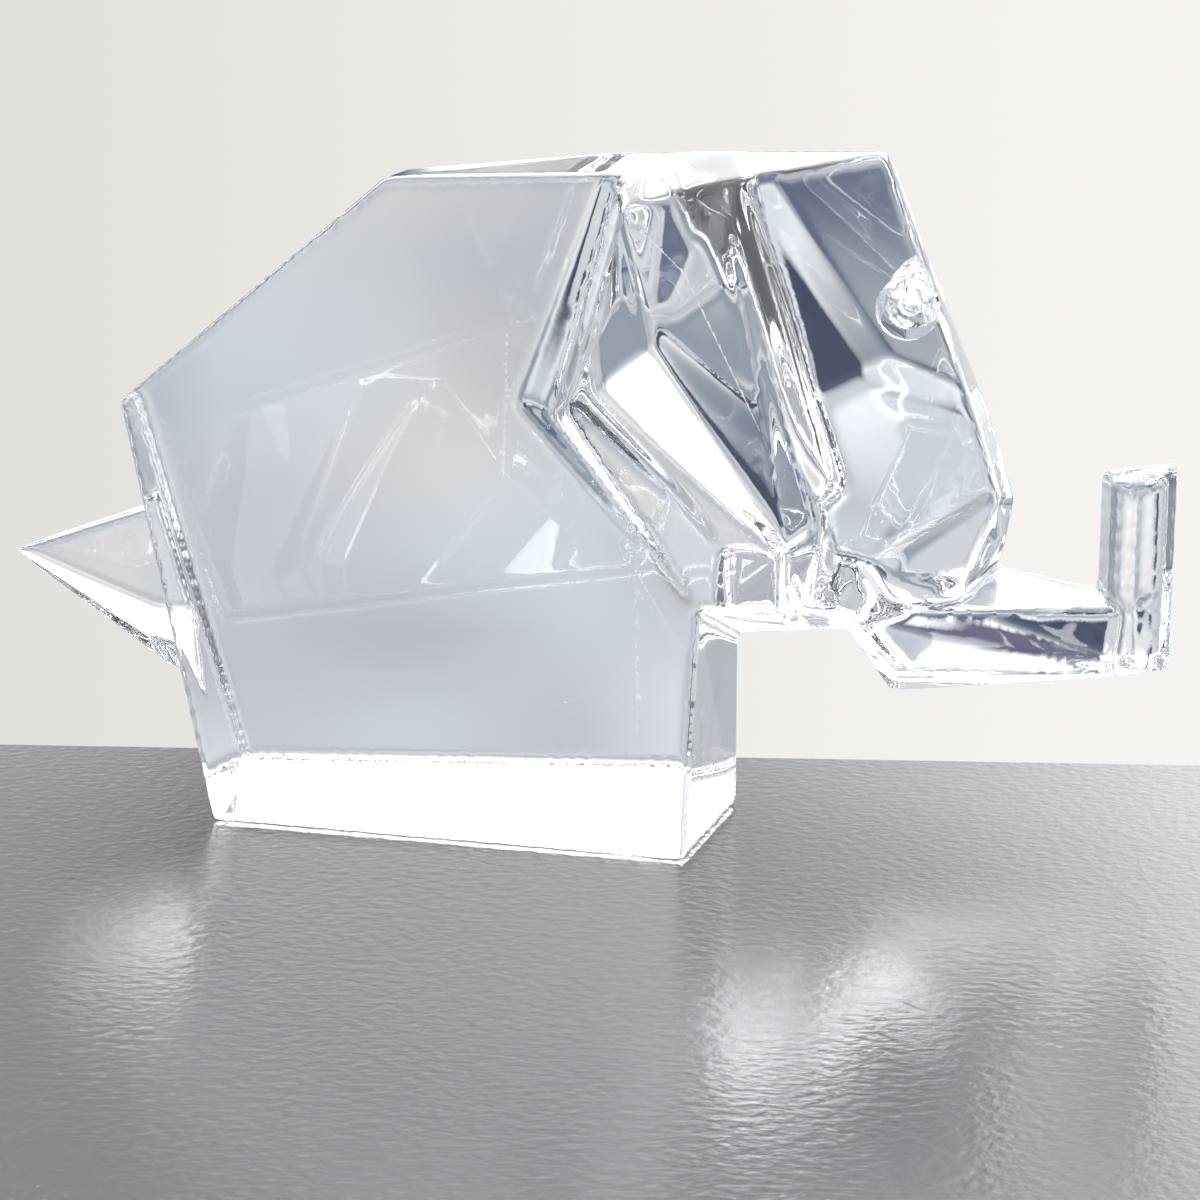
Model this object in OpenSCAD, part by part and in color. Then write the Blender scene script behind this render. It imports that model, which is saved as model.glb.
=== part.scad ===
// Faceted lead-crystal elephant, standing on its own flat base.
// +X is forwards (the trunk end), +Y is the animal's left, +Z is up, millimetres.
// The origin is the middle of the footprint's length and width, on the table.
// Each form is one or two convex blocks. A block's outline is drawn in the side view,
// and its half width comes from a slanted side plane, so that each flank is a true flat.
// Neighbouring forms are cut against each other and meet face to face.

/* [Figure] */
// Overall length from the tip of the tail to the tip of the trunk
figure_length = 168; // [110:1:260]

/* [Body] */
// Half width of the body at the table, level with the origin
body_half = 25.9; // [25:0.1:27]
// How much each flank spreads for each millimetre forwards
body_spread = 0.12; // [0.08:0.01:0.15]
// How much each flank leans in for each millimetre upwards
body_lean = 0.17; // [0.15:0.01:0.19]
// Forward reach of the prow between the front legs
leg_prow = 4; // [2:0.5:6]

/* [Shoulder groove] */
// Depth of the V groove at its corner, below the flank
groove_depth = 3; // [1:0.5:4]
// Depth of the V groove at the top edge, below the flank
groove_depth_top = 2.5; // [1:0.5:4]

/* [Neck and ears] */
// Half width of the ear plate at the table plane, level with the origin
plate_half = 28.5; // [28:0.1:29]
// How much the ear plate leans in for each millimetre upwards
plate_lean = 0.167; // [0.16:0.001:0.175]
// Half width at the peak of the ear
ear_peak_half = 21.5; // [20:0.5:24]
// Half width at the lower end of the ear's crest
ear_lobe_half = 23; // [22:0.5:25]

/* [Head] */
// Height of the ridge above the table at the forehead
ridge_height = 94.1; // [93.7:0.1:95]
// Diameter of the eye
eye_d = 8.6; // [6:0.2:9]
// Height of the eye's rim above the face
eye_rise = 0.8; // [0.4:0.1:1.2]
// Depth of the round dish in the eye, below its rim
eye_dish = 1.1; // [0.6:0.1:1.3]

/* [Trunk] */
// Half width of the trunk where it bends forwards
trunk_half = 11; // [9:0.5:12]
// Half width of the trunk where it meets the upright tip
trunk_end_half = 6.5; // [5:0.5:7]
// Half width of the upright tip
tip_half = 6.6; // [5.5:0.1:8]
// Height of the trunk tip above the table
tip_height = 52; // [50:0.5:57]

/* [Tail] */
// Half width of the tail at its root
tail_half = 6.5; // [4:0.5:8]

/* [Hidden] */

drawn_length = 168;
size = figure_length / drawn_length;
crystal = [0.90, 0.92, 0.95, 0.45];

// Side planes as [half width at the origin, change along X, change along Z]
flank = [body_half, body_spread, -body_lean];
plate = [plate_half, 0, -plate_lean];
temple = [34.77, -0.192, -0.249];
face = [42.24, -0.282, -0.307];
cheek = [31.28, -0.236, -0.164];

// Body outline in the side view, as [x, z]
rump = [-65, 58.1];
croup = [-26, 90.1];
withers = [5.5, 91.1];
shoulder = [-6, 60.6];
elbow = [20.2, 33.8];
toe = [19, 0];
heel = [-49.5, 0];
chest_keel = [toe[0] + leg_prow, 25.6];
toe_keel = [toe[0] + leg_prow, 0];

// Bottom of the groove, which is also where the body ends and the neck begins
groove_top = [7.3, 90.9];
groove_corner = [-1.6, 58.4];
neck_roof = [7, 89.8];
ridge_start = [8, 93.5];
nape = [21.6, 93.9];
chin_rear = [32.5, 26.2];

// Ear plate outline
plate_top = [8.2, 86.8];
plate_corner = [1.2, 59.3];
plate_front = [31, 34.1];
plate_rise = [31, 41.5];
roof_edge = [21, 89.9];

// Ear outline
ear_rear = [5, 62.7];
ear_crest_top = [14, 87.8];
ear_peak = [13.4, 69];
ear_lobe = [32.2, 43.5];
ear_front_low = [34.6, 44.3];
ear_front_mid = [30.7, 57.6];
ear_front_top = [26, 74.8];
ear_crest_half = 11.2;
ear_root_half = 4;

// Head outline
brow_rear = [24, 90.5];
forehead_edge = [42.8, 93.5];
forehead_ridge = [43, ridge_height];
brow_low = [42.2, 63.1];
cheek_rear = [31.6, 57.6];
muzzle = [56.3, 58.3];
muzzle_ridge = [57.6, 58.1];
jaw = [38.1, 33.2];
chin_keel = [39, 26.7];
cheek_foot = [33, 33.9];

// Eye: its place on the face, how deep it is set in, and the dish's radius as a share of its diameter
eye = [46.4, 73.2];
eye_depth = 1;
eye_dish_share = 0.34;

// Trunk outline, and how much narrower it is at the front of its bend
bend_taper = 1.5;
trunk_brow = [47.5, 52.5];
trunk_cheek = [43.8, 46.8];
bevel_top = [47.3, 46.7];
bevel_low = [43.2, 33.2];
bend_edge = [59.7, 47.7];
bend_ridge = [61.6, 46.1];
bend_under = [60.2, 38.1];
throat_edge = [54.7, 34.9];
throat_ridge = [58.5, 35.6];
reach_top = [42.5, 31.5];
reach_low = [46.1, 23];
reach_keel = [45, 17.8];
reach_ridge = [60, 36.5];
reach_ridge_end = [75, 33.5];
reach_end_top = [76.2, 32];
reach_end_low = [75, 23];
reach_end_keel = [75.6, 21.1];

// Trunk tip, an upright eight-sided prism
tip_rear_x = 73.3;
tip_front_x = 84;
tip_mid_x = 78.1;
tip_chamfer_rear_x = 74.8;
tip_chamfer_front_x = 80.9;
tip_chamfer_share = 0.68;
tip_shoulder = tip_height - 3.3;
tip_chamfer_top = tip_height - 2.1;
tip_rear_top = tip_height - 1.6;
tip_rear_foot = 22.6;
tip_front_foot = 22.4;
tip_mid_foot = 23.7;
tip_chamfer_rear_foot = 23.3;
tip_chamfer_front_foot = 24.5;

// Tail outline
tail_end = [-84, 34.5];
tail_end_keel = [-84, 33.5];
tail_end_half = 0.8;
tail_collar_share = 0.55;
tail_root_share = 0.7;
tail_spread = 2;
tail_collar_top = [-66.4, 40.7];
tail_collar_mid = [-62.6, 25.4];
tail_collar_keel = [-60.8, 16.9];
tail_root_top = [-59, 43.1];
tail_root_mid = [-54, 24.6];
tail_root_keel = [-52, 14.1];

// Half width of the side plane at a point of the side view
function half_at(p, plane) = plane[0] + plane[1] * p[0] + plane[2] * p[1];

// A point of the side view, placed on both sides at a given half width
function both(p, half) = [[p[0], -half, p[1]], [p[0], half, p[1]]];

// A point of the side view, placed on both sides on a side plane
function on(p, plane) = both(p, half_at(p, plane));

// A point of the side view, on the middle plane
function mid(p) = [[p[0], 0, p[1]]];

// Two lists joined pair by pair into one flat list of points
function joined(lists) = [for (list = lists) for (p = list) p];

// The convex block around a list of points
module block(lists) {
    points = joined(lists);
    hull()
        polyhedron(points = points, faces = [[for (i = [0 : len(points) - 1]) i]]);
}

// Body: an upper and a lower block, which leave the corner that the groove runs around
module torso_form() {
    block([
        on(rump, flank), on(croup, flank), on(withers, flank), on(shoulder, flank), on(heel, flank),
        both(groove_top, half_at(groove_top, flank) - groove_depth_top),
        both(groove_corner, half_at(groove_corner, flank) - groove_depth),
        mid(ridge_start)
    ]);
    block([
        on(rump, flank), on(shoulder, flank), on(elbow, flank), on(toe, flank), on(heel, flank),
        both(groove_corner, half_at(groove_corner, flank) - groove_depth),
        mid(chest_keel), mid(toe_keel)
    ]);
}

// Neck and chest: the flat ear plates, and the roof and keel between them
module neck_form() {
    block([
        both(neck_roof, half_at(groove_top, flank) - groove_depth_top),
        both(groove_corner, half_at(groove_corner, flank) - groove_depth),
        on(elbow, flank),
        on(plate_top, plate), on(plate_corner, plate), on(plate_front, plate), on(plate_rise, plate),
        on(roof_edge, temple), mid(ridge_start), mid(nape), mid(chest_keel), mid(chin_rear)
    ]);
}

// Head: temple, face and cheek planes, with a prow between them
module head_form() {
    block([
        on(roof_edge, temple), on(brow_rear, face), on(forehead_edge, face),
        on(brow_low, face), on(cheek_rear, cheek), on(muzzle, face),
        on(trunk_brow, cheek), on(trunk_cheek, cheek), on(jaw, cheek), on(cheek_foot, cheek),
        mid(nape), mid(forehead_ridge), mid(muzzle_ridge), mid(chin_keel), mid(chin_rear)
    ]);
}

// Ear: four facets that rise from the plate to a peak, on a root that runs into the neck
module ear_form(side) {
    function out(p, half) = [[p[0], side * half, p[1]]];
    function root(p) = out(p, ear_root_half);
    block([
        out(plate_top, half_at(plate_top, plate)), out(ear_rear, half_at(ear_rear, plate)),
        out(plate_rise, half_at(plate_rise, plate)),
        out(ear_peak, ear_peak_half), out(ear_lobe, ear_lobe_half),
        out(ear_crest_top, ear_crest_half), out(roof_edge, half_at(roof_edge, temple)),
        out(ear_front_low, half_at(ear_front_low, cheek)),
        out(ear_front_mid, half_at(ear_front_mid, cheek)),
        out(ear_front_top, half_at(ear_front_top, temple)),
        root(plate_top), root(ear_rear), root(plate_rise), root(roof_edge), root(ear_front_low)
    ]);
}

// Trunk, first part: from the face down to the bend
module trunk_root_form() {
    block([
        on(muzzle, face), on(trunk_brow, cheek), on(trunk_cheek, cheek), on(jaw, cheek),
        both(bevel_top, trunk_half), both(bevel_low, trunk_half),
        both(bend_edge, trunk_half - bend_taper), both(throat_edge, trunk_half),
        mid(muzzle_ridge), mid(bend_ridge), mid(bend_under), mid(throat_ridge), mid(chin_keel)
    ]);
}

// Trunk, second part: the stretch that reaches forwards
module trunk_reach_form() {
    block([
        on(jaw, cheek), both(reach_top, trunk_half), both(reach_low, trunk_half),
        both(reach_end_top, trunk_end_half), both(reach_end_low, trunk_end_half),
        mid(chin_keel), mid(reach_keel), mid(reach_end_keel), mid(reach_ridge), mid(reach_ridge_end)
    ]);
}

// Trunk, third part: the upright tip
module trunk_tip_form() {
    chamfer_half = tip_half * tip_chamfer_share;
    block([
        mid([tip_rear_x, tip_rear_top]), mid([tip_front_x, tip_height]),
        both([tip_chamfer_rear_x, tip_chamfer_top], chamfer_half),
        both([tip_mid_x, tip_shoulder], tip_half),
        both([tip_chamfer_front_x, tip_chamfer_top], chamfer_half),
        mid([tip_rear_x, tip_rear_foot]), mid([tip_front_x, tip_front_foot]), mid(reach_end_keel),
        both([tip_chamfer_rear_x, tip_chamfer_rear_foot], chamfer_half),
        both([tip_mid_x, tip_mid_foot], tip_half),
        both([tip_chamfer_front_x, tip_chamfer_front_foot], chamfer_half)
    ]);
}

// Tail: a pointed fin and the collar that widens to the rump
module tail_form() {
    collar = [
        both(tail_collar_top, tail_half * tail_collar_share), both(tail_collar_mid, tail_half),
        mid(tail_collar_keel)
    ];
    root = [
        both(tail_root_top, tail_half * tail_root_share), both(tail_root_mid, tail_half + tail_spread),
        mid(tail_root_keel)
    ];
    block(concat([both(tail_end, tail_end_half), mid(tail_end_keel)], collar));
    block(concat(collar, root));
}

// Puts its children at the eye: origin on the face plane, +Z straight out of it
module at_eye(side) {
    tilt_up = atan(-face[2]);
    turn = atan(-face[1] / sqrt(1 + face[2] * face[2]));
    translate([eye[0], side * half_at(eye, face), eye[1]])
        rotate([side > 0 ? -90 + tilt_up : 90 - tilt_up, 0, 0])
            rotate([0, turn, 0])
                children();
}

// Eye: a round button with a dished front, set into a pocket in the face
module eye_form(side) {
    dish_r = (pow(eye_d * eye_dish_share, 2) + pow(eye_dish, 2)) / (2 * eye_dish);
    at_eye(side)
        difference() {
            translate([0, 0, -eye_depth])
                cylinder(d = eye_d, h = eye_depth + eye_rise, $fn = 64);
            translate([0, 0, eye_rise - eye_dish + dish_r])
                sphere(r = dish_r, $fn = 64);
        }
}

// The pocket that the eye fills
module eye_pocket(side) {
    at_eye(side)
        translate([0, 0, -eye_depth])
            cylinder(d = eye_d, h = 2 * eye_depth + eye_rise, $fn = 64);
}

module torso() {
    color(crystal)
        scale(size)
            torso_form();
}

module neck() {
    color(crystal)
        scale(size)
            difference() {
                neck_form();
                torso_form();
            }
}

module head() {
    color(crystal)
        scale(size)
            difference() {
                head_form();
                neck_form();
                trunk_root_form();
                trunk_reach_form();
                eye_pocket(-1);
                eye_pocket(1);
            }
}

module ear(side) {
    color(crystal)
        scale(size)
            difference() {
                ear_form(side);
                neck_form();
                head_form();
                torso_form();
            }
}

module ear_right() {
    ear(-1);
}

module ear_left() {
    ear(1);
}

module eye_right() {
    color(crystal)
        scale(size)
            eye_form(-1);
}

module eye_left() {
    color(crystal)
        scale(size)
            eye_form(1);
}

module trunk_root() {
    color(crystal)
        scale(size)
            difference() {
                trunk_root_form();
                trunk_reach_form();
            }
}

module trunk_reach() {
    color(crystal)
        scale(size)
            difference() {
                trunk_reach_form();
                trunk_tip_form();
            }
}

module trunk_tip() {
    color(crystal)
        scale(size)
            trunk_tip_form();
}

module tail() {
    color(crystal)
        scale(size)
            difference() {
                tail_form();
                torso_form();
            }
}

torso();
neck();
ear_right();
ear_left();
head();
eye_right();
eye_left();
trunk_root();
trunk_reach();
trunk_tip();
tail();
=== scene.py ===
# %% [markdown]
# # A faceted elephant in solid lead crystal
# The real figure is pressed in one piece from clear crystal and then fire-polished: a flame runs
# over it, the flats stay flat and every edge melts into a narrow round rim. Its whole look comes
# from that: rims that bend light into thin dark and bright lines, and flats that act as windows
# and mirrors. So the work here is to get one smooth skin with true flats and soft rims, to cut it
# into its eleven named forms along the creases, and to give it a room worth reflecting.

# %% Load the measured model
import math

import bpy
import numpy as np
from mathutils import Euler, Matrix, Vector


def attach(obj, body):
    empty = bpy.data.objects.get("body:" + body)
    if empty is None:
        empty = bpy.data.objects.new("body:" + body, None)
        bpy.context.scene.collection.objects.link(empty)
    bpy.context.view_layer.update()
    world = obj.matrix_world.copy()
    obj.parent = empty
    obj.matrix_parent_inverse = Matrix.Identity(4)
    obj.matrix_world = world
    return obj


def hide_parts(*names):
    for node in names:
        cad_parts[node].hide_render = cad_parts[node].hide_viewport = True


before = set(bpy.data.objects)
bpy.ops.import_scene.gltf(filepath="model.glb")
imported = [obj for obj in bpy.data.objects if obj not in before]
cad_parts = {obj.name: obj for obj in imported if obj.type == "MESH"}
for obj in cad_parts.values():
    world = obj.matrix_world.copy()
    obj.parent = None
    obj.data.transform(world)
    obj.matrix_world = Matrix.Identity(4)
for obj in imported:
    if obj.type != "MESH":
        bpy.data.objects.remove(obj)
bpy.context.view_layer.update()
MM = 0.001
NODES = list(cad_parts)
print("nodes:", ", ".join(NODES))

# %% [markdown]
# Every step works on one object at a time. A few helpers clear the selection and pick the object
# that the next operator will act on, apply its modifiers, copy it with a mesh of its own, or take
# it away.

# %% Picking, applying, removing and copying
def pick(*objects):
    bpy.ops.object.select_all(action="DESELECT")
    for item in objects:
        item.select_set(True)
    bpy.context.view_layer.objects.active = objects[0]


def apply_all(piece):
    pick(piece)
    for modifier in list(piece.modifiers):
        bpy.ops.object.modifier_apply(modifier=modifier.name)


def remove(*items):
    for item in items:
        bpy.data.objects.remove(item, do_unlink=True)


def copy_of(item, name):
    piece = item.copy()
    piece.data = item.data.copy()
    piece.name = name
    piece.parent = None
    bpy.context.collection.objects.link(piece)
    return piece


# %% [markdown]
# ## The skin
# The casting has no seams, so its forms are first run together: the plain solids are merged into
# one mesh, a voxel remesh covers them with one even skin, and a few rounds of smoothing melt the
# edges as the flame does. The remesh works on a square grid, and an edge that runs nearly along it
# comes out in long steps, so the figure is turned askew for it and turned back afterwards. The eyes
# are left out here, because their rims are finer than the skin, and the hollows that they leave
# are plugged.

# %% Placing the eyes
EYE_SET_IN = 1 * MM


def eye_place(name):
    """Finds a button's axis, back and size: its axis is the direction in which it is thinnest."""
    points = np.array([v.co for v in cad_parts[name].data.vertices])
    middle = points.mean(axis=0)
    axis = np.linalg.svd(points - middle)[2][-1]
    axis = axis * np.sign(axis[1] * middle[1])
    along = (points - middle) @ axis
    radius = np.linalg.norm(points - middle - np.outer(along, axis), axis=1).max()
    back = middle + axis * along.min()
    return {"back": Vector(back), "axis": Vector(axis), "radius": radius, "height": np.ptp(along)}


EYES = {name: eye_place(name) for name in ("eye_right", "eye_left")}
for name, eye in EYES.items():
    print(name, "radius mm", round(eye["radius"] / MM, 2), "height mm", round(eye["height"] / MM, 2))

# %% One smooth skin
VOXEL = 0.54 * MM
MELT_FACTOR = 0.5
MELT_ROUNDS = 18
WELD = 0.001 * MM
ASKEW = Euler((0.45, 0.3, 0.65))
PLUG_DEPTH = 0.2 * MM
PLUG_RIM = 0.1 * MM
ROUND_SIDES = 96


def turn(piece, rotation):
    pick(piece)
    piece.rotation_mode = "QUATERNION"
    piece.rotation_quaternion = rotation
    bpy.ops.object.transform_apply(location=False, rotation=True, scale=False)


def disc(name, eye, low, high, radius):
    """A round slab on an eye's axis, from low to high above the eye's back."""
    bpy.ops.object.select_all(action="DESELECT")
    bpy.ops.mesh.primitive_cylinder_add(
        vertices=ROUND_SIDES, radius=radius, depth=high - low,
        location=eye["back"] + eye["axis"] * (low + high) / 2,
        rotation=eye["axis"].to_track_quat("Z", "Y").to_euler())
    item = bpy.context.object
    item.name = name
    bpy.ops.object.transform_apply(location=True, rotation=True, scale=True)
    return item


def make_skin():
    plain = [copy_of(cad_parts[name], name + "_form") for name in NODES if "eye" not in name]
    plugs = [
        disc(name + "_plug", eye, -PLUG_DEPTH, EYE_SET_IN, eye["radius"] + PLUG_RIM)
        for name, eye in EYES.items()]
    pick(*plain, *plugs)
    bpy.ops.object.join()
    piece = bpy.context.object
    piece.name = "skin"
    bpy.ops.object.mode_set(mode="EDIT")
    bpy.ops.mesh.select_all(action="SELECT")
    bpy.ops.mesh.remove_doubles(threshold=WELD)
    bpy.ops.object.mode_set(mode="OBJECT")
    turn(piece, ASKEW.to_quaternion())
    remesh = piece.modifiers.new("even skin", "REMESH")
    remesh.mode = "VOXEL"
    remesh.voxel_size = VOXEL
    melt = piece.modifiers.new("fire polish", "SMOOTH")
    melt.factor = MELT_FACTOR
    melt.iterations = MELT_ROUNDS
    apply_all(piece)
    turn(piece, ASKEW.to_quaternion().inverted())
    return piece


skin = make_skin()
print("skin faces:", len(skin.data.polygons))

# %% [markdown]
# ## Eleven forms from one skin
# A caster's forms end where a crease, a groove or an arris runs round the figure. Each cut follows
# one of those lines in the side view and goes straight through from side to side, like a wire
# through clay. The cutter is a flat outline pushed out to a prism, and a Boolean keeps what is
# inside it or outside it. The faces that a cut leaves are where two forms touch: there is no
# surface there in the real casting, so they get a material of their own, which light crosses
# without bending. The cutter carries that material, and the Boolean hands it on to the cut.

# %% Polished crystal outside, clear where forms touch
crystal = bpy.data.materials.new("lead crystal, fire-polished")
bond_line = bpy.data.materials.new("lead crystal, inside the casting")
for material in (crystal, bond_line):
    material.use_nodes = True


def give_material(piece, material):
    piece.data.materials.clear()
    piece.data.materials.append(material)


# %% A prism from an outline in the side view
CUT_HALF = 60 * MM


def prism(name, outline):
    bpy.ops.object.select_all(action="DESELECT")
    bpy.ops.mesh.primitive_circle_add(vertices=len(outline), fill_type="NGON")
    cutter = bpy.context.object
    cutter.name = name
    for corner, (x, z) in zip(cutter.data.vertices, outline):
        corner.co = (x * MM, -CUT_HALF, z * MM)
    bpy.ops.object.mode_set(mode="EDIT")
    bpy.ops.mesh.select_all(action="SELECT")
    bpy.ops.mesh.extrude_region_move(TRANSFORM_OT_translate={"value": (0, 2 * CUT_HALF, 0)})
    bpy.ops.mesh.select_all(action="SELECT")
    bpy.ops.mesh.normals_make_consistent(inside=False)
    bpy.ops.object.mode_set(mode="OBJECT")
    give_material(cutter, bond_line)
    return cutter


def cut(piece, operation, *cutters):
    for cutter in cutters:
        boolean = piece.modifiers.new(operation.lower(), "BOOLEAN")
        boolean.operation = operation
        boolean.solver = "MANIFOLD"
        boolean.material_mode = "TRANSFER"
        boolean.object = cutter
    apply_all(piece)
    return piece


# %% [markdown]
# The ear stands on two surfaces: the flat plate of the neck, and the temple and cheek of the head.
# Its cutter is a block with both of those shaved away, so that the cut runs along them. A plane is
# given as the half width at the origin and its change along X and along Z, and the cut lies a hair
# outside it, where the melted crease is.

# %% The ear's cutter, in millimetres
CREASE_LIFT = 0.12
PLATE = (28.5, 0, -0.167)
TEMPLE = (34.77, -0.192, -0.249)
CHEEK = (31.28, -0.236, -0.164)
EAR_REAR, EAR_FRONT = 1, 38
EAR_INNER, EAR_OUTER = 2, 40
EAR_FOOT, EAR_TOP = 41.6, 100
PLATE_FRONT = 31.0
HEAD_FRONT = 60
CORE_REAR = -20
CORE_HALF = 45
CORE_FOOT, CORE_TOP = 20, 110


def side_block(name, low, high):
    """A block from corner to corner that planes can be cut from."""
    bpy.ops.object.select_all(action="DESELECT")
    size = [(b - a) * MM for a, b in zip(low, high)]
    middle = [(a + b) / 2 * MM for a, b in zip(low, high)]
    bpy.ops.mesh.primitive_cube_add(size=1, location=middle)
    block = bpy.context.object
    block.name = name
    block.scale = size
    bpy.ops.object.transform_apply(location=True, rotation=True, scale=True)
    give_material(block, bond_line)
    return block


def keep_inside(block, plane, side):
    """Cuts away what lies outside a slanted side plane."""
    half, along_x, along_z = plane
    pick(block)
    bpy.ops.object.mode_set(mode="EDIT")
    bpy.ops.mesh.select_all(action="SELECT")
    bpy.ops.mesh.bisect(
        plane_co=(0, side * (half + CREASE_LIFT) * MM, 0),
        plane_no=(-along_x, side, -along_z), use_fill=True, clear_outer=True)
    bpy.ops.object.mode_set(mode="OBJECT")


def core(name, front):
    return side_block(name, (CORE_REAR, -CORE_HALF, CORE_FOOT), (front, CORE_HALF, CORE_TOP))


def ear_cutter(side):
    near, far = sorted((side * EAR_INNER, side * EAR_OUTER))
    block = side_block("ear_block", (EAR_REAR, near, EAR_FOOT), (EAR_FRONT, far, EAR_TOP))
    neck_core = core("neck_core", PLATE_FRONT + CREASE_LIFT)
    keep_inside(neck_core, PLATE, side)
    head_core = core("head_core", HEAD_FRONT)
    keep_inside(head_core, TEMPLE, side)
    keep_inside(head_core, CHEEK, side)
    cut(block, "DIFFERENCE", neck_core, head_core)
    remove(neck_core, head_core)
    return block


# %% [markdown]
# The outlines below follow the creases. The groove behind the ear parts the body from everything
# in front of it, the ear plate's front wall ends the neck, the bevel under the cheek starts the
# trunk, and the trunk's own bend and its upright tip are the last two cuts. Corners that lie far
# outside the figure only close the outline.

# %% Where the wire runs, as X and Z in millimetres
FRONT_CUT = [(13.9, 114), (8, 93.5), (7.3, 90.9), (-1.6, 58.4), (20.2, 33.8), (23, 25.6),
             (30, 8), (130, -10), (130, 114)]
HEAD_CUT = [(16.6, 114), (21.3, 92), (31.1, 41.5), (31.1, 33), (33, 10), (130, -10), (130, 114)]
TRUNK_CUT = [(80, 74), (56.3, 58.3), (47.5, 52.5), (43.8, 46.8), (38.1, 33.2), (39, 26.7),
             (36, 0), (130, -10), (130, 74)]
REACH_CUT = [(30, 31.5), (38.1, 33), (54.7, 34.7), (58.6, 35.4), (61, 36.7), (100, 36.7),
             (100, 0), (30, 0)]
TIP_CUT = [(66, 34.2), (75.6, 34.2), (75.2, 5), (130, 5), (130, 90), (66, 90)]
TAIL_CUT = [(-75.6, 100), (-45.5, -10), (-130, -10), (-130, 100)]

# %% Cutting the skin into its forms
def cut_forms(skin):
    cutters = {
        name: prism(name + "_cutter", outline)
        for name, outline in (
            ("front", FRONT_CUT), ("head", HEAD_CUT), ("trunk", TRUNK_CUT),
            ("reach", REACH_CUT), ("tip", TIP_CUT), ("tail", TAIL_CUT))}
    ears = {"ear_right": ear_cutter(-1), "ear_left": ear_cutter(1)}
    rear = cut(copy_of(skin, "rear"), "DIFFERENCE", cutters["front"])
    front = cut(copy_of(skin, "front"), "INTERSECT", cutters["front"])
    forms = {}
    forms["torso"] = cut(copy_of(rear, "torso_glass"), "DIFFERENCE", cutters["tail"])
    forms["tail"] = cut(copy_of(rear, "tail_glass"), "INTERSECT", cutters["tail"])
    for name, cutter in ears.items():
        forms[name] = cut(copy_of(front, name + "_glass"), "INTERSECT", cutter)
    cut(front, "DIFFERENCE", *ears.values())
    forms["neck"] = cut(copy_of(front, "neck_glass"), "DIFFERENCE", cutters["head"])
    head = cut(copy_of(front, "head_glass"), "INTERSECT", cutters["head"])
    trunk = cut(copy_of(head, "trunk"), "INTERSECT", cutters["trunk"])
    forms["head"] = cut(head, "DIFFERENCE", cutters["trunk"])
    forms["trunk_tip"] = cut(copy_of(trunk, "trunk_tip_glass"), "INTERSECT", cutters["tip"])
    cut(trunk, "DIFFERENCE", cutters["tip"])
    forms["trunk_reach"] = cut(copy_of(trunk, "trunk_reach_glass"), "INTERSECT", cutters["reach"])
    forms["trunk_root"] = cut(copy_of(trunk, "trunk_root_glass"), "DIFFERENCE", cutters["reach"])
    remove(rear, front, trunk, *cutters.values(), *ears.values())
    return forms


give_material(skin, crystal)
forms = cut_forms(skin)
remove(skin)
for name, piece in forms.items():
    print(name, "faces:", len(piece.data.polygons))

# %% [markdown]
# ## Eyes
# Each eye is a low round button with a dished front. It is turned as its own piece: a pocket is cut
# into the face, a cylinder is set into it, and a sphere presses the dish into the cylinder's front.

# %% Turning the eyes and their pockets
DISH_SHARE = 0.68
DISH_DEPTH = 1.1 * MM


def make_eye(name, eye):
    pocket = disc(name + "_pocket", eye, 0, 2 * eye["height"], eye["radius"])
    give_material(pocket, bond_line)
    cut(forms["head"], "DIFFERENCE", pocket)
    remove(pocket)
    button = disc(name + "_glass", eye, 0, eye["height"], eye["radius"])
    give_material(button, crystal)
    dish_radius = eye["radius"] * DISH_SHARE
    ball_radius = (dish_radius ** 2 + DISH_DEPTH ** 2) / (2 * DISH_DEPTH)
    bpy.ops.object.select_all(action="DESELECT")
    bpy.ops.mesh.primitive_uv_sphere_add(
        segments=ROUND_SIDES, ring_count=ROUND_SIDES, radius=ball_radius,
        location=eye["back"] + eye["axis"] * (eye["height"] - DISH_DEPTH + ball_radius))
    ball = bpy.context.object
    give_material(ball, crystal)
    cut(button, "DIFFERENCE", ball)
    remove(ball)
    return button


for name, eye in EYES.items():
    forms[name] = make_eye(name, eye)
    print(name, "faces:", len(forms[name].data.polygons))

# %% [markdown]
# The melted skin shades smoothly, and a cut meets it at a sharp corner. So faces that meet at less
# than a set angle are shaded as one surface, and the others keep their edge.

# %% Smooth skin, sharp cuts
SMOOTH_BELOW = math.radians(40)
for name, piece in forms.items():
    pick(piece)
    bpy.ops.object.shade_smooth_by_angle(angle=SMOOTH_BELOW)
print("shaded pieces:", len(forms))

# %% [markdown]
# ## Lead crystal
# Clear glass with about a quarter of lead oxide, pressed in a mould and fire-polished. The lead
# lifts its refractive index to about 1.55, which makes the rims draw strong lines. It is very
# nearly without colour. The flame leaves no roughness, but the flats keep a long, shallow swell,
# hundredths of a millimetre high, that makes a reflection waver. Inside the casting there is
# nothing for light to meet, so the faces between two forms are simply clear.

# %% Crystal outside and inside
CRYSTAL_COLOUR = "#F8FAFC"
CRYSTAL_IOR = 1.55
SWELL_LENGTH = 18 * MM
SWELL_DETAIL = 1.0
SWELL_HEIGHT = 0.02 * MM


def hex_colour(text):
    channels = [int(text[i:i + 2], 16) / 255 for i in (1, 3, 5)]
    return [c / 12.92 if c <= 0.04045 else ((c + 0.055) / 1.055) ** 2.4 for c in channels] + [1]


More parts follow.
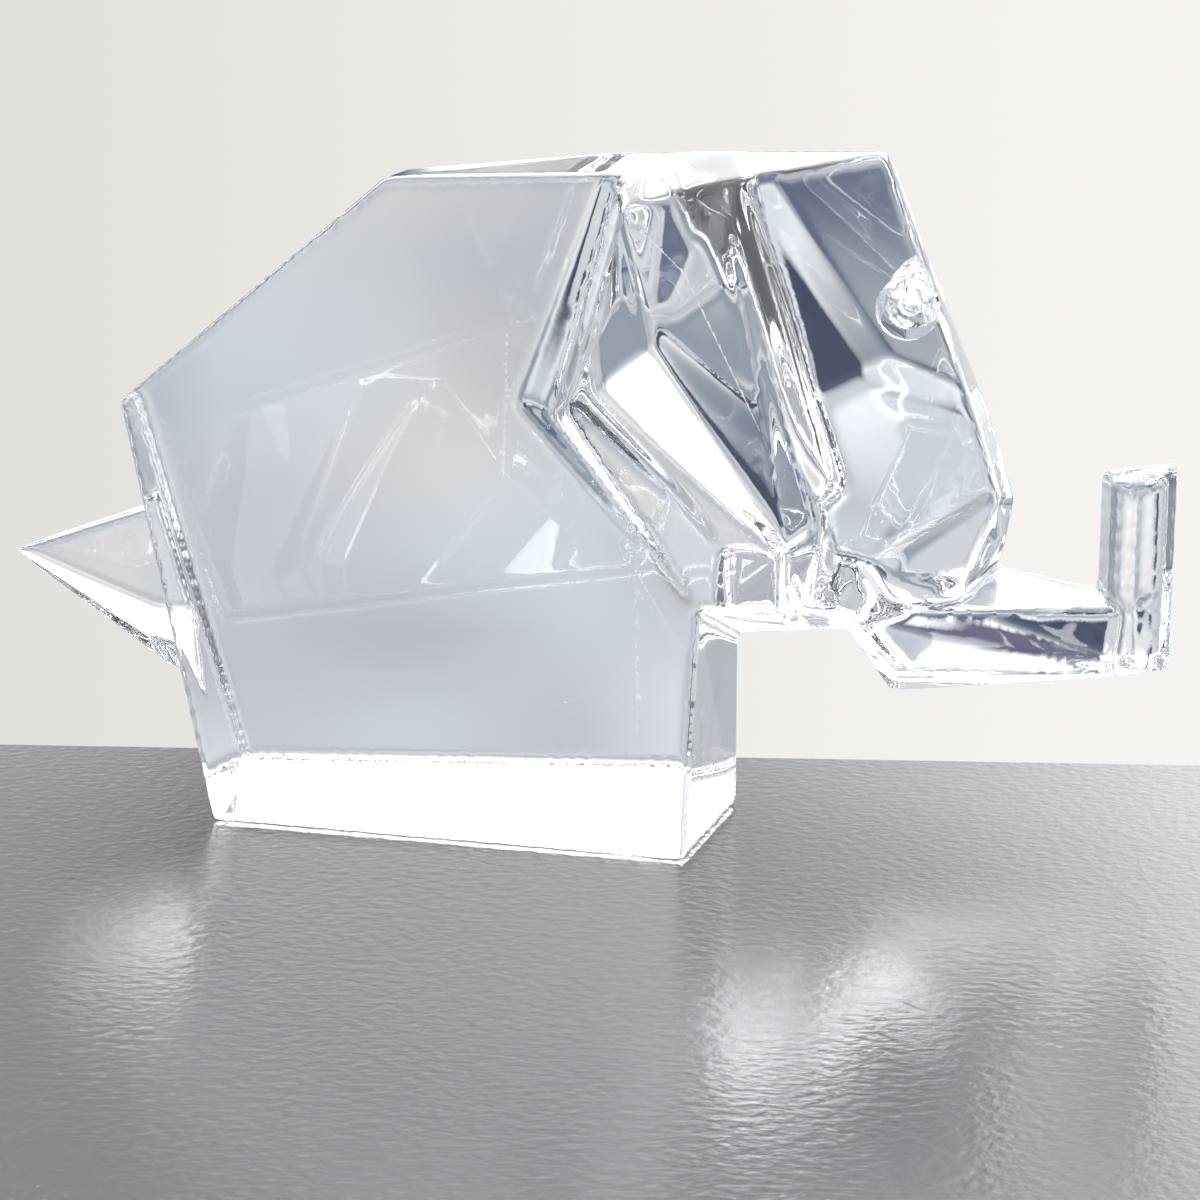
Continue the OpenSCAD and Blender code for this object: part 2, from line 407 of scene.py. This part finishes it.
def add_node(owner, kind, settings=(), inputs=(), links=()):
    """Adds a node, sets its settings and sockets, and links other nodes' outputs into it."""
    node = owner.node_tree.nodes.new(kind)
    for key, value in dict(settings).items():
        setattr(node, key, value)
    for key, value in dict(inputs).items():
        node.inputs[key].default_value = value
    for key, socket in dict(links).items():
        owner.node_tree.links.new(socket, node.inputs[key])
    return node


def bumpy(material, length, detail, height):
    """A normal ruffled by noise: its length from hump to hump, its finer octaves and its height."""
    place = add_node(material, "ShaderNodeTexCoord")
    noise = add_node(
        material, "ShaderNodeTexNoise", inputs={"Scale": 1 / length, "Detail": detail},
        links={"Vector": place.outputs["Object"]})
    bump = add_node(
        material, "ShaderNodeBump", inputs={"Strength": 1.0, "Distance": height},
        links={"Height": noise.outputs["Fac"]})
    return bump.outputs["Normal"]


crystal.node_tree.nodes.clear()
glass = add_node(
    crystal, "ShaderNodeBsdfPrincipled",
    inputs={
        "Base Color": hex_colour(CRYSTAL_COLOUR), "Roughness": 0.0, "IOR": CRYSTAL_IOR,
        "Transmission Weight": 1.0},
    links={"Normal": bumpy(crystal, SWELL_LENGTH, SWELL_DETAIL, SWELL_HEIGHT)})
add_node(crystal, "ShaderNodeOutputMaterial", links={"Surface": glass.outputs[0]})

bond_line.node_tree.nodes.clear()
clear = add_node(bond_line, "ShaderNodeBsdfTransparent")
add_node(bond_line, "ShaderNodeOutputMaterial", links={"Surface": clear.outputs[0]})
print("materials:", crystal.name, "|", bond_line.name)

# %% [markdown]
# Each form takes the place of the plain solid of the same name and rides on the figure's one body.

# %% Hand the pieces over
for name, piece in forms.items():
    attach(piece, "root")
    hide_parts(name)
print("pieces handed over:", len(forms))

# %% [markdown]
# ## The table
# The figure stands near the back edge of a grey table top. Its satin lacquer has an orange-peel
# texture, about a millimetre and a half from hump to hump, which breaks reflections into smears.

# %% The table top
TABLE_SIZE = (3.0, 1.6)
TABLE_TURN = math.radians(5.3)
TABLE_EDGE = 23 * MM
TABLE_DROP = 0.05 * MM
LACQUER_COLOUR = "#363639"
LACQUER_ROUGHNESS = 0.2
PEEL_LENGTH = 1.6 * MM
PEEL_DETAIL = 2.0
PEEL_HEIGHT = 0.1 * MM

bpy.ops.object.select_all(action="DESELECT")
bpy.ops.mesh.primitive_plane_add(size=1)
table = bpy.context.object
table.name = "table_top"
table.scale = (*TABLE_SIZE, 1)
bpy.ops.object.transform_apply(location=True, rotation=True, scale=True)
table.location = (0, -TABLE_SIZE[1] / 2, -TABLE_DROP)
bpy.ops.object.transform_apply(location=True, rotation=True, scale=True)
table.rotation_euler = (0, 0, TABLE_TURN)
table.location = (0, TABLE_EDGE, 0)
bpy.ops.object.transform_apply(location=True, rotation=True, scale=True)
lacquer = bpy.data.materials.new("satin grey table lacquer")
lacquer.use_nodes = True
lacquer.node_tree.nodes.clear()
satin = add_node(
    lacquer, "ShaderNodeBsdfPrincipled",
    inputs={"Base Color": hex_colour(LACQUER_COLOUR), "Roughness": LACQUER_ROUGHNESS},
    links={"Normal": bumpy(lacquer, PEEL_LENGTH, PEEL_DETAIL, PEEL_HEIGHT)})
add_node(lacquer, "ShaderNodeOutputMaterial", links={"Surface": satin.outputs[0]})
give_material(table, lacquer)
print("table size m:", TABLE_SIZE)

# %% [markdown]
# ## The room
# Glass has no colour of its own, so it is lit by what stands around it. The side behind the camera
# is one plain wall, dark at the floor and pale at the ceiling. The far side has cards below and
# windows above. A bright skyline just over the horizon keeps the roofs white, because they mirror
# it at a grazing angle. The brightness of a window is a number, where 1 is as bright as a pure
# white card.

# %% The studio's colours and lights
INK = "#39435C"
SLATE = "#5E6982"
VIOLET = "#6C6884"
STEEL = "#959FAB"
TAUPE = "#A8A29C"
ASH = "#B6B8BC"
PEARL = "#C6C8CD"
MIST = "#D6DBE2"
LINEN = "#E6E3DF"
SNOW = "#F2F6FA"
SKYLINE = 1.9
HIGH_WINDOW = 8.0


def grey(value):
    return (value, value, value, 1)


def skyward(low, gap):
    """The upper part of a strip: the skyline, a low window, a dimmer gap, then the high window."""
    return [
        (0.50, grey(SKYLINE)), (0.57, grey(SKYLINE)), (0.60, grey(low)), (0.69, grey(low)),
        (0.73, grey(gap)), (0.76, grey(gap)), (0.78, grey(HIGH_WINDOW)), (0.95, grey(HIGH_WINDOW)),
        (0.99, grey(low))]


# %% [markdown]
# The back wall is a row of upright strips of card, as a glass photographer hangs them: dark cards
# draw dark facets, pale ones light facets, and a narrow card makes a line. Sides and heights run
# from 0 to 1 over the whole sphere of directions, so 0.5 is straight ahead and level. Each strip
# gives the side at which it begins, how wide its blend with the last one is, its cards from the
# floor up, and how bright its windows are.

# %% Strips of card
SHARP = 0.006
SOFT = 0.03
LEFT_WINDOWS = skyward(1.0, 0.7)
COVERED = 4  # the stops of the skyline and the low window, which the tallest strip hides
STRIPS = [
    (0, SHARP, [(0.16, INK), (0.22, STEEL), (0.27, SLATE), (0.29, MIST), (0.42, PEARL)], LEFT_WINDOWS),
    (0.25, SHARP, [(0.22, PEARL), (0.25, STEEL), (0.26, SLATE), (0.27, SLATE), (0.285, PEARL),
                   (0.33, MIST), (0.35, STEEL), (0.37, STEEL), (0.39, MIST), (0.46, LINEN)],
     LEFT_WINDOWS),
    (0.30, SHARP, [(0.25, SLATE), (0.265, STEEL), (0.275, PEARL), (0.285, SNOW), (0.30, MIST),
                   (0.31, PEARL), (0.325, SNOW), (0.345, ASH), (0.37, ASH), (0.39, MIST),
                   (0.46, LINEN)],
     LEFT_WINDOWS),
    (0.33, SHARP, [(0.23, STEEL), (0.255, INK), (0.298, INK), (0.306, MIST), (0.33, MIST),
                   (0.35, STEEL), (0.385, SNOW), (0.40, INK), (0.43, SLATE), (0.46, ASH)],
     LEFT_WINDOWS),
    (0.36, SHARP, [(0.26, STEEL), (0.29, MIST), (0.32, STEEL), (0.37, STEEL), (0.385, SNOW),
                   (0.42, STEEL), (0.48, SLATE), (0.50, VIOLET), (0.57, VIOLET), (0.62, STEEL),
                   (0.64, MIST), (0.68, STEEL)],
     LEFT_WINDOWS[COVERED:]),
    (0.385, SHARP, [(0.26, STEEL), (0.29, MIST), (0.33, STEEL), (0.37, STEEL), (0.385, SNOW),
                    (0.46, LINEN)],
     skyward(1.2, 0.7)),
    (0.40, SOFT, [(0.20, ASH), (0.24, MIST), (0.28, PEARL), (0.31, PEARL), (0.33, MIST),
                  (0.38, LINEN)],
     skyward(1.3, 0.7)),
    (0.44, SOFT, [(0.20, ASH), (0.24, MIST), (0.27, MIST), (0.285, ASH), (0.30, MIST),
                  (0.315, LINEN), (0.35, PEARL), (0.375, LINEN)],
     skyward(1.5, 0.8)),
    (0.46, SOFT, [(0.20, ASH), (0.25, PEARL), (0.27, PEARL), (0.29, MIST), (0.31, MIST),
                  (0.33, ASH), (0.35, PEARL), (0.37, PEARL), (0.39, SNOW), (0.46, LINEN)],
     skyward(2.0, 1.2)),
    (0.49, SOFT, [(0.20, STEEL), (0.24, ASH), (0.26, SNOW), (0.275, SNOW), (0.29, PEARL),
                  (0.305, TAUPE), (0.33, MIST), (0.35, ASH), (0.37, ASH), (0.39, MIST),
                  (0.46, LINEN)],
     skyward(2.8, 2.2)),
    (0.52, SHARP, [(0.18, ASH), (0.22, STEEL), (0.235, SLATE), (0.255, SLATE), (0.265, SNOW),
                   (0.30, MIST), (0.35, PEARL), (0.39, ASH), (0.41, MIST), (0.46, LINEN)],
     skyward(3.2, 2.6)),
    (0.59, SHARP, [(0.24, MIST), (0.34, ASH), (0.365, STEEL), (0.42, STEEL), (0.45, MIST)],
     skyward(3.2, 2.6)),
    (0.68, SHARP, [(0.26, STEEL), (0.30, PEARL), (0.325, SNOW), (0.35, PEARL), (0.385, ASH),
                   (0.41, MIST), (0.44, ASH)],
     skyward(1.6, 1.6))]
FRONT = [(0.22, INK), (0.27, SLATE), (0.37, STEEL), (0.55, PEARL), (0.72, ASH), (0.88, PEARL),
         (0.95, SNOW)]
print("strips of card:", len(STRIPS))

# %% [markdown]
# The cards are painted on the world by direction, so they light the glass and the table without
# standing in the way. The camera itself sees only a plain pale wall, whichever way it looks.

# %% Hanging the strips
FACING = [(0.50, grey(0)), (0.60, grey(1))]
WALL = [(0.30, "#DEDDD8"), (0.44, "#F1EEEA"), (0.54, "#F8F5F3")]


def ramp(owner, stops, factor):
    node = add_node(owner, "ShaderNodeValToRGB", links={"Fac": factor})
    steps = node.color_ramp.elements
    while len(steps) < len(stops):
        steps.new(0.5)
    for step, (position, colour) in zip(steps, stops):
        step.position = position
        step.color = hex_colour(colour) if isinstance(colour, str) else colour
    return node.outputs["Color"]


def mix(owner, factor, first, second):
    node = add_node(owner, "ShaderNodeMix", settings={"data_type": "RGBA"}, links={0: factor})
    first_socket, second_socket = [item for item in node.inputs if item.type == "RGBA"]
    owner.node_tree.links.new(first, first_socket)
    owner.node_tree.links.new(second, second_socket)
    return [item for item in node.outputs if item.type == "RGBA"][0]


def half_up(owner, socket):
    """Turns -1..1 into 0..1."""
    node = add_node(
        owner, "ShaderNodeMath", settings={"operation": "MULTIPLY_ADD"},
        inputs={1: 0.5, 2: 0.5}, links={0: socket})
    return node.outputs[0]


world = bpy.data.worlds.new("studio")
bpy.context.scene.world = world
world.use_nodes = True
world.node_tree.nodes.clear()
direction = add_node(world, "ShaderNodeTexCoord")
axes = add_node(world, "ShaderNodeSeparateXYZ", links={0: direction.outputs["Generated"]})
side, depth, height = (half_up(world, axes.outputs[name]) for name in "XYZ")
back = None
for begin, blend, cards, windows in STRIPS:
    strip = ramp(world, cards + windows, height)
    if back is None:
        back = strip
    else:
        share = ramp(world, [(begin, grey(0)), (begin + blend, grey(1))], side)
        back = mix(world, share, back, strip)
room = mix(world, ramp(world, FACING, depth), ramp(world, FRONT, height), back)
path = add_node(world, "ShaderNodeLightPath")
seen = mix(world, path.outputs["Is Camera Ray"], room, ramp(world, WALL, side))
sky = add_node(world, "ShaderNodeBackground", links={"Color": seen})
add_node(world, "ShaderNodeOutputWorld", links={"Surface": sky.outputs[0]})
print("world nodes:", len(world.node_tree.nodes))

# %% [markdown]
# ## The camera
# A long lens about two and a half figure lengths away. It stands a little above the figure, on its
# right side and slightly towards its front.

# %% Camera
LENS_MM = 88.5
SENSOR_MM = 36
CAMERA_AT = (0.0677, -0.4078, 0.1231)
CAMERA_TILT = math.radians(77.24)
CAMERA_PAN = math.radians(9)

camera_data = bpy.data.cameras.new("camera")
camera_data.lens = LENS_MM
camera_data.sensor_width = SENSOR_MM
camera = bpy.data.objects.new("camera", camera_data)
bpy.context.collection.objects.link(camera)
camera.location = CAMERA_AT
camera.rotation_euler = (CAMERA_TILT, 0, CAMERA_PAN)
bpy.context.scene.camera = camera
print("camera at m:", CAMERA_AT)

# %% [markdown]
# Inside solid glass, light bounces many times before it leaves, and it crosses many bond lines. A
# ray that is cut short turns black, so the limits are set high.

# %% Light paths deep enough for solid glass
GLASS_BOUNCES = 48
MIRROR_BOUNCES = 16
CLEAR_CROSSINGS = 64

scene = bpy.context.scene
scene.cycles.max_bounces = GLASS_BOUNCES
scene.cycles.transmission_bounces = GLASS_BOUNCES
scene.cycles.glossy_bounces = MIRROR_BOUNCES
scene.cycles.transparent_max_bounces = CLEAR_CROSSINGS
scene.view_settings.view_transform = "Standard"
print("bounces in glass:", GLASS_BOUNCES, "crossings of a bond line:", CLEAR_CROSSINGS)
